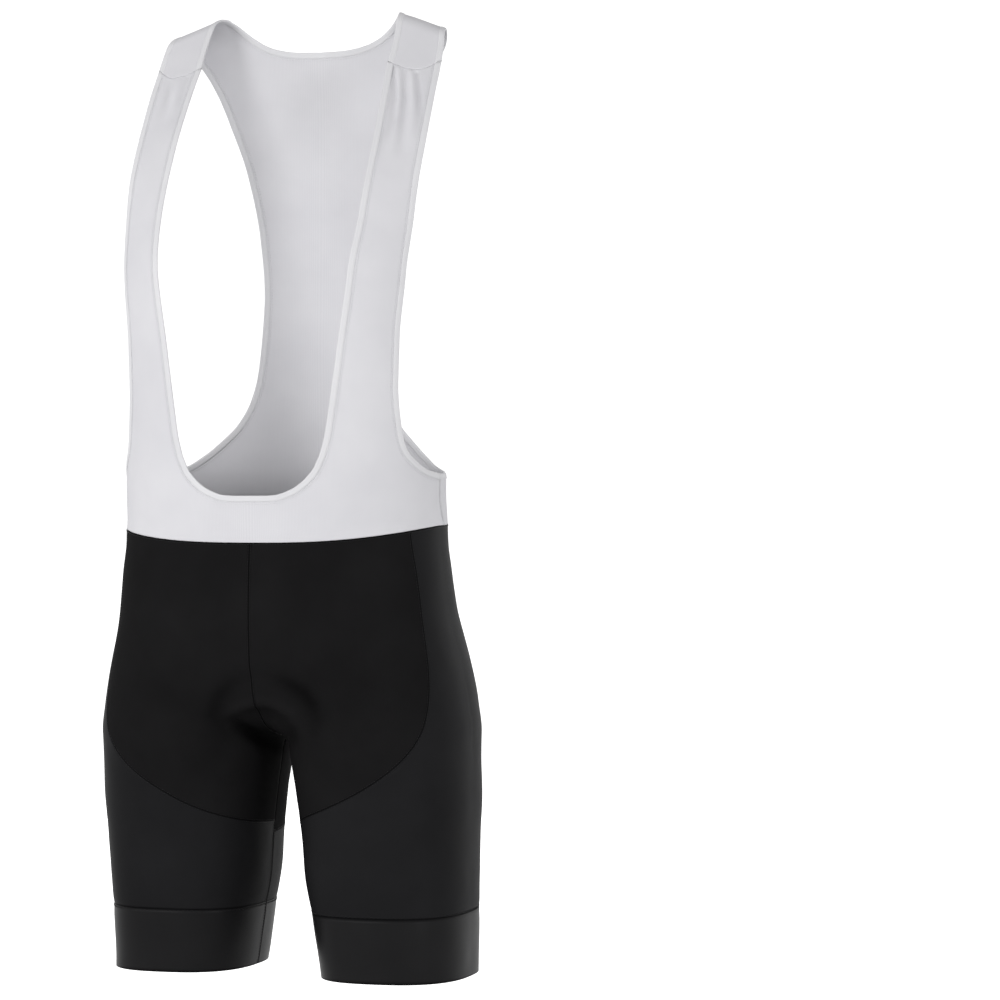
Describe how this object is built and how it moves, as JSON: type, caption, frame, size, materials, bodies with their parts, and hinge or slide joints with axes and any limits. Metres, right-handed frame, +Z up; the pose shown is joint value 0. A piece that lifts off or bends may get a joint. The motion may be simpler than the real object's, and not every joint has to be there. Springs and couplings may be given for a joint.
{
  "type": "cycling bib shorts",
  "caption": "Close-fitting cycling shorts with smooth leg bands, joined at the waist to a light sleeveless bib with deep armholes and a low scooped neck, shaped as worn.",
  "frame": {"origin": "midway between the two shoulder straps, level with their undersides at the centre edge of each strap on top of the shoulders", "axes": "+Z up, towards the shoulders; the front of the garment faces -Y; +X is the wearer's left"},
  "size_m": [0.3803, 0.2459, 0.9582],
  "materials": {
    "bib_knit": "matt fine knit",
    "bib_elastic": "matt narrow elastic",
    "matt_jersey": "matt stretch jersey",
    "sheen_jersey": "smooth stretch jersey with a soft sheen",
    "leg_elastic": "smooth wide elastic with a sheen"
  },
  "bodies": {
    "root": {"bib_front": "bib_knit", "bib_back": "bib_knit", "neck_tape_front": "bib_elastic", "neck_tape_back": "bib_elastic", "armhole_tape_front_left": "bib_elastic", "armhole_tape_front_right": "bib_elastic", "armhole_tape_back_left": "bib_elastic", "armhole_tape_back_right": "bib_elastic", "shorts_front_left": "matt_jersey", "shorts_front_right": "matt_jersey", "shorts_back_left": "matt_jersey", "shorts_back_right": "matt_jersey", "shorts_side_left": "sheen_jersey", "shorts_side_right": "sheen_jersey", "back_yoke": "sheen_jersey", "leg_band_left": "leg_elastic", "leg_band_right": "leg_elastic"}
  },
  "joints": []
}
